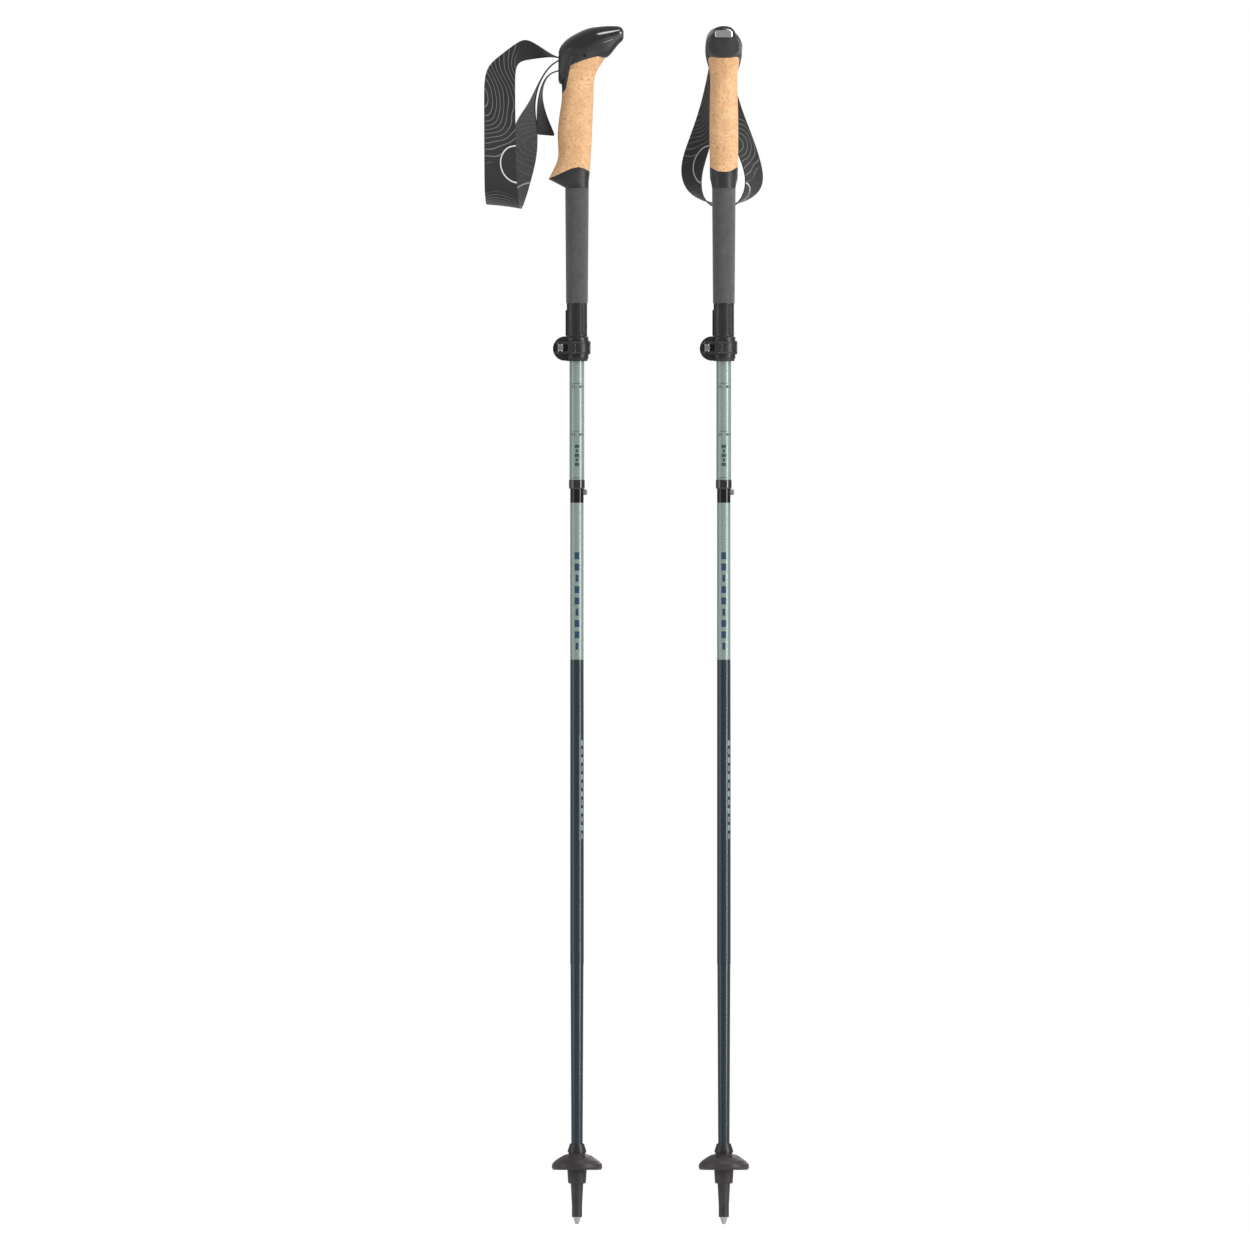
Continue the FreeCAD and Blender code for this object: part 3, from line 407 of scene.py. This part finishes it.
NODE_FINISHES = {
    "head_shell": soft_rubber,
    "head_cap": gloss_cap,
    "strap_wedge": matt_nylon,
    "wedge_pin": matt_nylon,
    "cork_grip": cork,
    "grip_collar": soft_rubber,
    "foam_grip": foam,
    "upper_tube": petrol_paint,
    "clamp_body": matt_nylon,
    "clamp_lever": matt_nylon,
    "lever_pin": steel,
    "clamp_bolt": steel,
    "adjuster_nut": matt_nylon,
    "release_button": button_steel,
    "middle_tube": two_tone_paint,
    "middle_cone": matt_nylon,
    "slider_tube": sage_paint,
    "guide_bush": matt_nylon,
    "lock_collar": gloss_cap,
    "plug_sleeve": black_anodised,
    "button_spring": steel,
    "lower_tube": petrol_paint,
    "lower_cone": matt_nylon,
    "cord_anchor": steel,
    "tip_collar": matt_nylon,
    "basket": basket_plastic,
    "tip_shaft": tip_nylon,
    "carbide_tip": carbide,
}

for node_name, coat_of in NODE_FINISHES.items():
    for tag in POLES:
        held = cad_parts[f"{node_name}_{tag}"]
        if not held.material_slots:
            held.data.materials.append(None)
        for place_in_list in held.material_slots:
            place_in_list.link = "OBJECT"
            place_in_list.material = coat_of


# ---------------------------------------------------------------- ways of shaping a piece


def alone(piece):
    """Selects one object and makes it the active one."""
    bpy.ops.object.select_all(action="DESELECT")
    piece.select_set(True)
    bpy.context.view_layer.objects.active = piece
    return piece


def keep_as(name, *materials):
    """Names the active object and gives it its materials."""
    piece = bpy.context.object
    piece.name = name
    piece.data.name = name
    piece.data.materials.clear()
    for material in materials:
        piece.data.materials.append(material)
    return piece


def with_modifier(piece, kind, **settings):
    """Adds a modifier to the piece and applies it."""
    alone(piece)
    modifier = piece.modifiers.new(kind, kind)
    for name, value in settings.items():
        setattr(modifier, name, value)
    bpy.ops.object.modifier_apply(modifier=modifier.name)


def smooth(piece, degrees=35):
    alone(piece)
    bpy.ops.object.shade_smooth_by_angle(angle=math.radians(degrees))


def to_poles(piece, body, with_head=False):
    """Copies a piece to both poles, each copy with its own mesh, and lets each ride on its body."""
    copies = []
    for tag, (across, turn) in POLES.items():
        copy = piece.copy()
        copy.data = piece.data.copy()
        scene.collection.objects.link(copy)
        copy.name = f"{piece.name}_{tag}"
        copy.data.name = copy.name
        spot = Matrix.Translation(Vector((across, POLE_Y, 0)) * MM)
        turned = Matrix.Rotation(math.radians(turn if with_head else 0), 4, "Z")
        copy.data.transform(spot @ turned)
        if body:
            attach(copy, f"{body}_{tag}")
        copies.append(copy)
    bpy.data.objects.remove(piece)
    return copies


# ---------------------------------------------------------------- wrist strap

# The loop's two edges, from the slot round and back to it: the far edge, then the edge nearer to the grip.
LOOP = [
    ((-18.9, -6.5, 1239.0), (-18.9, 6.5, 1239.0)),
    ((-25.0, -6.6, 1241.0), (-25.0, 6.4, 1240.2)),
    ((-31.5, -7.6, 1245.0), (-32.0, 5.2, 1240.0)),
    ((-40.0, -9.5, 1251.0), (-41.0, 2.0, 1238.8)),
    ((-48.5, -11.0, 1256.4), (-51.0, -1.5, 1237.2)),
    ((-56.6, -12.0, 1258.9), (-60.2, -4.5, 1235.5)),
    ((-66.5, -13.0, 1253.0), (-64.6, -6.5, 1230.5)),
    ((-77.5, -13.5, 1244.6), (-65.6, -8.0, 1223.0)),
    ((-88.0, -14.0, 1236.6), (-65.8, -9.0, 1213.5)),
    ((-95.6, -15.5, 1228.0), (-65.8, -9.8, 1203.0)),
    ((-98.4, -18.0, 1215.0), (-65.7, -10.5, 1191.0)),
    ((-98.4, -22.5, 1195.0), (-65.6, -11.5, 1178.0)),
    ((-98.3, -29.0, 1173.0), (-65.5, -12.5, 1163.0)),
    ((-98.2, -37.5, 1150.0), (-65.4, -14.5, 1147.0)),
    ((-98.1, -43.5, 1133.0), (-65.2, -19.0, 1132.0)),
    ((-98.0, -45.5, 1118.0), (-64.8, -23.5, 1117.0)),
    ((-98.0, -42.5, 1104.0), (-63.8, -24.5, 1102.0)),
    ((-97.8, -34.0, 1093.0), (-62.5, -22.0, 1089.5)),
    ((-97.0, -19.0, 1086.0), (-60.8, -13.0, 1081.0)),
    ((-96.0, -3.0, 1083.0), (-59.5, -2.0, 1078.5)),
    ((-94.5, 14.0, 1084.0), (-58.0, 9.0, 1080.0)),
    ((-91.5, 29.0, 1089.5), (-55.5, 17.5, 1087.0)),
    ((-87.5, 39.0, 1099.0), (-52.0, 22.5, 1098.0)),
    ((-83.0, 42.0, 1111.0), (-48.5, 23.5, 1111.0)),
    ((-78.5, 39.5, 1126.0), (-44.5, 20.0, 1126.0)),
    ((-73.5, 34.5, 1143.0), (-42.2, 13.0, 1142.0)),
    ((-68.5, 27.5, 1162.0), (-42.2, 5.5, 1158.0)),
    ((-60.5, 21.5, 1177.5), (-43.3, 0.5, 1172.0)),
    ((-51.5, 17.5, 1189.5), (-45.2, -1.5, 1184.5)),
    ((-45.5, 14.0, 1202.0), (-44.0, -1.5, 1198.0)),
    ((-40.3, 11.0, 1213.0), (-40.7, -3.0, 1211.0)),
    ((-33.0, 8.0, 1225.5), (-33.2, -5.2, 1224.5)),
    ((-25.8, 6.8, 1232.8), (-25.8, -6.2, 1232.6)),
    ((-18.9, 6.5, 1236.2), (-18.9, -6.5, 1236.2)),
]
# The two edges of the webbing's free tail, which hangs from the same slot and widens.
TAIL = [
    ((-18.9, -6.0, 1225.2), (-18.9, 6.0, 1225.2)),
    ((-28.0, -6.0, 1223.0), (-28.0, 6.0, 1223.0)),
    ((-35.5, -6.2, 1215.0), (-34.5, 6.2, 1215.0)),
    ((-39.5, -6.5, 1203.0), (-37.5, 6.3, 1203.0)),
    ((-42.0, -6.6, 1190.0), (-36.5, 6.0, 1190.0)),
    ((-42.5, -6.0, 1173.0), (-31.0, 5.0, 1173.0)),
    ((-43.0, -3.5, 1157.5), (-22.8, 2.0, 1156.0)),
]
ACROSS = 8
CUP = 0.07
STRAP_THICK = 1.3


def webbing(name, stations, thick, outer, inner):
    """A woven band: a flat grid is laid between its two edges, subdivided, and given its thickness."""
    rows = len(stations) - 1
    bpy.ops.mesh.primitive_grid_add(x_subdivisions=ACROSS, y_subdivisions=rows, size=1)
    band = keep_as(name, inner, outer, webbing_edge)
    edges = [(Vector(far), Vector(near)) for far, near in stations]
    middles = [(far + near) / 2 for far, near in edges]
    lengths = [0.0]
    for here, there in zip(middles, middles[1:]):
        lengths.append(lengths[-1] + (there - here).length)
    own_flat = [None] * len(band.data.vertices)
    for vertex in band.data.vertices:
        row = round((vertex.co.y + 0.5) * rows)
        share = vertex.co.x + 0.5
        far, near = edges[row]
        ahead = middles[min(row + 1, rows)] - middles[max(row - 1, 0)]
        wide = (near - far).length
        # the band cups a little towards its edges
        cup = ahead.cross(near - far).normalized() * (-share * (1 - share) * wide * CUP)
        own_flat[vertex.index] = ((share - 0.5) * wide / 100, lengths[row] / 100)
        vertex.co = (far.lerp(near, share) + cup) * MM
    uv = band.data.uv_layers[0]
    uv.name = "webbing"
    for loop in band.data.loops:
        uv.data[loop.index].uv = own_flat[loop.vertex_index]
    with_modifier(band, "SUBSURF", levels=3, render_levels=3)
    with_modifier(
        band,
        "SOLIDIFY",
        thickness=thick * MM,
        offset=0.0,
        use_even_offset=True,
        material_offset=1,
        material_offset_rim=2,
    )
    smooth(band, 50)
    return band


loop = webbing("strap_loop", LOOP, STRAP_THICK, webbing_front, webbing_inner_painted_lighter)
tail = webbing("strap_tail", TAIL, STRAP_THICK, webbing_plain, webbing_plain)
for piece in (loop, tail):
    for copy in to_poles(piece, None, with_head=True):
        tag = copy.name[-1]
        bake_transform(copy)
        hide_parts(f"wrist_strap_{tag}")


# ---------------------------------------------------------------- raised lines and the head's badge

HEAD_PARTS = ("head_shell", "head_cap")
SEAM = [
    (-8.5, 1231.5),
    (-7.2, 1236),
    (-5.0, 1240),
    (-1.5, 1243.6),
    (4, 1245.6),
    (12, 1248.6),
    (24, 1253.6),
    (38, 1258.5),
]


def skin(start, towards, names):
    """Where a line meets one of these parts of pole a, in the pole's own frame and millimetres."""
    home = Vector((POLES["a"][0], POLE_Y, 0))
    met = []
    for node_name in names:
        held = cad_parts[f"{node_name}_a"]
        into = held.matrix_world.inverted()
        origin = into @ ((home + Vector(start)) * MM)
        hit, where, _, _ = held.ray_cast(origin, into.to_3x3() @ Vector(towards))
        if hit:
            met.append(held.matrix_world @ where / MM - home)
    return min(met, key=lambda point: (point - Vector(start)).length)


def plate_on_nose(wide, tall, height, thick):
    """A blank plate laid on the nose's end face, with rounded corners and edges."""
    bpy.ops.mesh.primitive_grid_add(x_subdivisions=12, y_subdivisions=6, size=1)
    plate = keep_as("nose_badge", badge_metal)
    for vertex in plate.data.vertices:
        across, up = vertex.co.x * 2, vertex.co.y * 2
        # the corners are drawn in to round them
        across *= 1 - 0.07 * up ** 4
        up *= 1 - 0.12 * across ** 4
        point = skin((90, across * wide / 2, height + up * tall / 2), (-1, 0, 0), HEAD_PARTS)
        vertex.co = (point + Vector((0.1, 0, 0))) * MM
    with_modifier(plate, "SOLIDIFY", thickness=thick * MM, offset=0.0)
    with_modifier(plate, "BEVEL", width=0.18 * MM, segments=2, limit_method="ANGLE")
    smooth(plate)
    return plate


def rib(name, material, corners, thick, side, raised, names):
    """A raised line that follows a part's flank between (u, z) corners."""
    spots = []
    for (u, z), (next_u, next_z) in zip(corners, corners[1:]):
        for step in range(6):
            share = step / 6
            spots.append((u + (next_u - u) * share, z + (next_z - z) * share))
    spots.append(corners[-1])
    bpy.ops.mesh.primitive_grid_add(x_subdivisions=2, y_subdivisions=len(spots) - 1, size=1)
    line = keep_as(name, material)
    for vertex in line.data.vertices:
        row = round((vertex.co.y + 0.5) * (len(spots) - 1))
        u, z = spots[row]
        ahead = Vector(spots[min(row + 1, len(spots) - 1)]) - Vector(spots[max(row - 1, 0)])
        aside = Vector((-ahead.y, ahead.x)).normalized() * vertex.co.x * thick
        point = skin((u + aside.x, side * 60, z + aside.y), (0, -side, 0), names)
        proud = raised if abs(vertex.co.x) < 0.1 else -0.05
        vertex.co = (point + Vector((0, side * proud, 0))) * MM
    with_modifier(line, "SOLIDIFY", thickness=0.3 * MM, offset=-1.0 if side > 0 else 1.0)
    smooth(line)
    return line


to_poles(plate_on_nose(18.5, 7.6, 1264.6, 0.5), "grip", with_head=True)
for name, side in (("seam_near", -1), ("seam_far", 1)):
    seam = rib(name, gloss_cap, SEAM, 0.9, side, 0.16, HEAD_PARTS)
    to_poles(seam, "grip", with_head=True)
# the lever's two rims and the bead between them
for name, height, thick, raised in (
    ("lever_rim_top", 936.2, 1.5, 0.5),
    ("lever_rim_low", 925.8, 1.5, 0.5),
    ("lever_bead", 931.0, 3.2, 0.35),
):
    reach = [(-6.5, height), (10.5, height)]
    to_poles(rib(name, matt_nylon, reach, thick, -1, raised, ("clamp_lever",)), "lever")


# ---------------------------------------------------------------- tension cord

CORD_TOP = 828.0
CORD_MIDDLE = 520.0
CORD_FOOT = 246.0
UPPER_FOLD = 766.3
LOWER_FOLD = 276.6

def cord_length(name, low, high, plane):
    """A length of the cord, finely divided about the fold between two sections."""
    bpy.ops.mesh.primitive_cylinder_add(vertices=16, radius=1.0 * MM, depth=1.0, end_fill_type="TRIFAN")
    cord = keep_as(name, cord_braid)
    for vertex in cord.data.vertices:
        vertex.co.z = (high if vertex.co.z > 0 else low) * MM
    for step in range(25):
        alone(cord)
        bpy.ops.object.mode_set(mode="EDIT")
        bpy.ops.mesh.select_all(action="SELECT")
        bpy.ops.mesh.bisect(plane_co=(0, 0, (plane - 12 + step) * MM), plane_no=(0, 0, 1))
        bpy.ops.object.mode_set(mode="OBJECT")
    smooth(cord)
    return cord


def knot_on_top():
    """The cord's upper end: a short pressed ferrule with rounded rims."""
    bpy.ops.mesh.primitive_cylinder_add(
        vertices=32, radius=2.7 * MM, depth=5.0 * MM, location=(0, 0, (CORD_TOP + 0.5) * MM)
    )
    bpy.ops.object.transform_apply(location=True, rotation=True, scale=True)
    ferrule = keep_as("cord_ferrule", steel)
    with_modifier(ferrule, "BEVEL", width=0.6 * MM, segments=3, limit_method="ANGLE")
    smooth(ferrule)
    return ferrule


for name, low, high, plane, upper, lower in (
    ("tension_cord_upper", CORD_MIDDLE, CORD_TOP, UPPER_FOLD, "slider", "middle"),
    ("tension_cord_lower", CORD_FOOT, CORD_MIDDLE, LOWER_FOLD, "middle", "lower"),
):
    for copy in to_poles(cord_length(name, low, high, plane), None):
        tag = copy.name[-1]
        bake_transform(copy)
        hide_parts(f"tension_cord_{tag}")
to_poles(knot_on_top(), "slider")


# ---------------------------------------------------------------- the V spring behind each button

for tag, (across, _) in POLES.items():
    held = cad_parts[f"button_spring_{tag}"]
    mesh = held.data.copy()
    mesh.transform(held.matrix_world)
    spring = bpy.data.objects.new(f"v_spring_{tag}", mesh)
    scene.collection.objects.link(spring)
    alone(spring)
    bpy.ops.object.mode_set(mode="EDIT")
    bpy.ops.mesh.select_all(action="SELECT")
    bpy.ops.mesh.customdata_custom_splitnormals_clear()
    bpy.ops.mesh.remove_doubles(threshold=0.001 * MM)
    bpy.ops.mesh.normals_make_consistent(inside=False)
    bpy.ops.object.mode_set(mode="OBJECT")
    keep_as(spring.name, steel)
    with_modifier(spring, "BEVEL", width=0.12 * MM, segments=2, limit_method="ANGLE")
    smooth(spring)
    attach(spring, f"slider_{tag}")
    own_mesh(spring)
    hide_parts(f"button_spring_{tag}")


# ---------------------------------------------------------------- marks printed on the tubes


def wrapped(piece, radius, angle, height):
    """Bends a flat piece, drawn in millimetres about its own middle, round a tube and puts it in place."""
    for vertex in piece.data.vertices:
        x, y = vertex.co.x, vertex.co.y
        turn = math.radians(angle) + x / radius
        vertex.co = Vector((radius * math.sin(turn), -radius * math.cos(turn), height + y)) * MM
    piece.data.update()
    return piece


def dash(wide, tall, radius, angle, height):
    """A printed bar, wide round the tube and tall along it."""
    bpy.ops.mesh.primitive_grid_add(x_subdivisions=max(2, int(wide)), y_subdivisions=1, size=1)
    bar = bpy.context.object
    for vertex in bar.data.vertices:
        vertex.co = (vertex.co.x * wide, vertex.co.y * tall, 0)
    return wrapped(bar, radius, angle, height)


def figures(text, tall, radius, angle, height):
    """Printed numbers of the length scale."""
    bpy.ops.object.text_add()
    bpy.context.object.data.body = text
    bpy.context.object.data.size = tall / 0.7
    bpy.context.object.data.align_x = "CENTER"
    bpy.context.object.data.resolution_u = 3
    bpy.ops.object.convert(target="MESH")
    return wrapped(bpy.context.object, radius, angle, height)


def printed(name, ink_used, bars):
    """Joins a tube's printed bars into one piece."""
    bpy.ops.object.select_all(action="DESELECT")
    for bar in bars:
        bar.select_set(True)
    bpy.context.view_layer.objects.active = bars[0]
    bpy.ops.object.join()
    return keep_as(name, ink_used)


SLIDER_INK = 8.07
MIDDLE_INK = 7.32
marks = []
for number, height in ((135, 993.2), (130, 943.2), (125, 893.2), (120, 842.4), (115, 792.8)):
    marks.append(dash(9.0, 0.55, SLIDER_INK, -4, height))
    marks.append(figures(str(number), 3.0, SLIDER_INK, -36, height - 5.0))
    marks.append(dash(2.2, 2.6, SLIDER_INK, 26, height - 3.6))
    marks.append(dash(2.2, 1.1, SLIDER_INK, 46, height - 3.6))
for row in range(5):
    marks.append(dash(4.8 if row % 2 == 0 else 2.6, 3.4, SLIDER_INK, 0, 807 + row * 4.8))
to_poles(printed("length_scale", dark_ink, marks), "slider")

panel = []
for row in range(9):
    panel.append(dash(5.2 if row % 3 else 3.0, 7.4, MIDDLE_INK, 0, 614 + row * 12.0))
to_poles(printed("sage_panel", navy_ink, panel), "middle")

panel = []
for row in range(12):
    panel.append(dash(3.4 if row % 2 else 2.0, 5.6, MIDDLE_INK, 48, 412 + row * 9.0))
panel.append(dash(0.6, 112, MIDDLE_INK, 24, 464))
to_poles(printed("petrol_panel", pale_ink, panel), "middle")


# ---------------------------------------------------------------- floor and world

bpy.ops.mesh.primitive_plane_add(size=7, location=(0, 0, -1.0 * MM))
bpy.ops.object.transform_apply(location=True, rotation=True, scale=True)
paper, tree, shader, place = finish("studio_paper_pale", "#F1F1F0", 0.9)
fibres = add_node(tree, NOISE, {"Vector": place, "Scale": 1 / (60 * MM), "Detail": 3.0})
shade = {0: fibres, 6: linear("#EFEFEE"), 7: linear("#F4F4F3")}
tree.links.new(add_node(tree, MIX, shade, 2, data_type="RGBA"), shader.inputs["Base Color"])
keep_as("floor", paper)

world = bpy.data.worlds.new("studio")
scene.world = world
world.use_nodes = True
sky = world.node_tree
seen = add_node(sky, "ShaderNodeLightPath", {}, "Is Camera Ray")
strength = add_node(sky, RANGE, {"Value": seen, "To Min": 0.42, "To Max": 1.0})
background = sky.nodes["Background"]
background.inputs["Color"].default_value = (1, 1, 1, 1)
sky.links.new(strength, background.inputs["Strength"])
